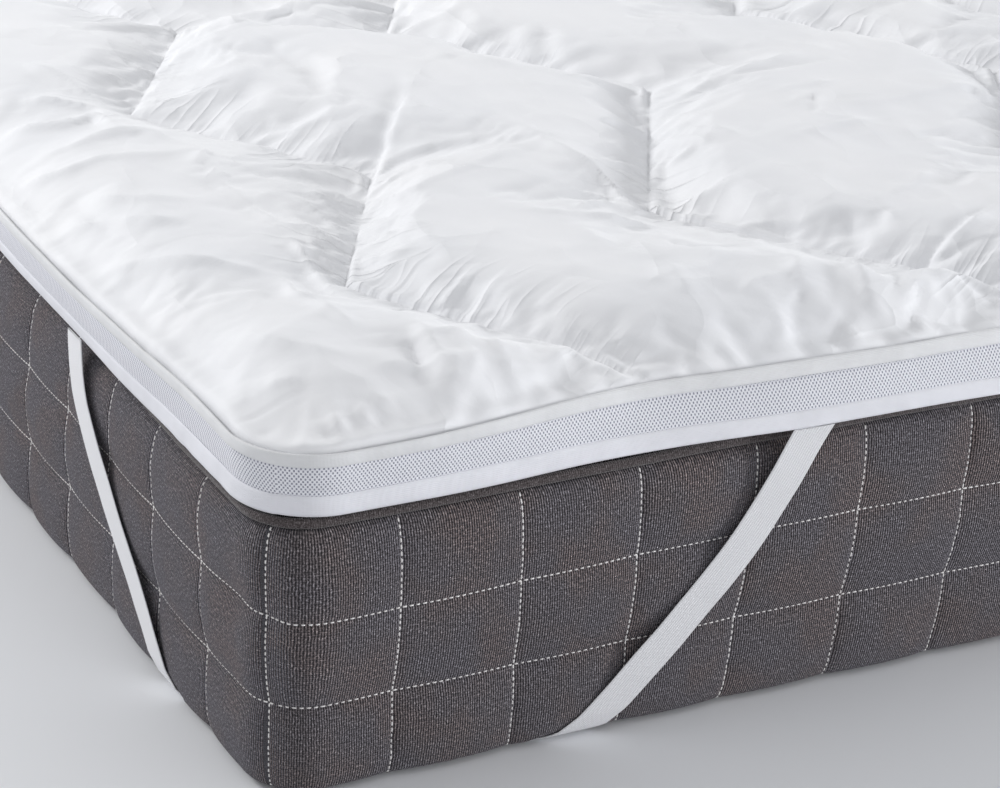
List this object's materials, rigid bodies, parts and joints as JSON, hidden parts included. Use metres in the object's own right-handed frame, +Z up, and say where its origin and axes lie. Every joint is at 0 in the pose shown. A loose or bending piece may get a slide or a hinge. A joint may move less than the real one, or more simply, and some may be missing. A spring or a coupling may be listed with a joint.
{
  "type": "mattress topper on a mattress",
  "caption": "White mattress topper quilted in zigzags, with a mesh border between two bindings, held on a plain dark mattress by an elastic strap at each corner.",
  "frame": {"origin": "middle of the mattress's underside, on the surface that it rests on", "axes": "+Y along the length towards the head end, +Z up, +X across the width"},
  "size_m": [1.4198, 2.0172, 0.3102],
  "materials": {
    "mattress": "ribbed dark knit",
    "mattress_piping": "ribbed dark knit, sewn round a cord",
    "mattress_panel": "white looped knit",
    "topper_pad": "smooth white cotton",
    "bottom_binding": "white woven tape",
    "mesh_border": "pale grey spacer mesh",
    "top_binding": "white woven tape",
    "elastic": "white woven elastic"
  },
  "bodies": {
    "root": {"mattress": "mattress", "mattress_panel": "mattress_panel", "mattress_piping": "mattress_piping", "topper_pad": "topper_pad", "bottom_binding": "bottom_binding", "mesh_border": "mesh_border", "top_binding": "top_binding", "strap_foot_left": "elastic", "strap_foot_right": "elastic", "strap_head_left": "elastic", "strap_head_right": "elastic"}
  },
  "joints": []
}
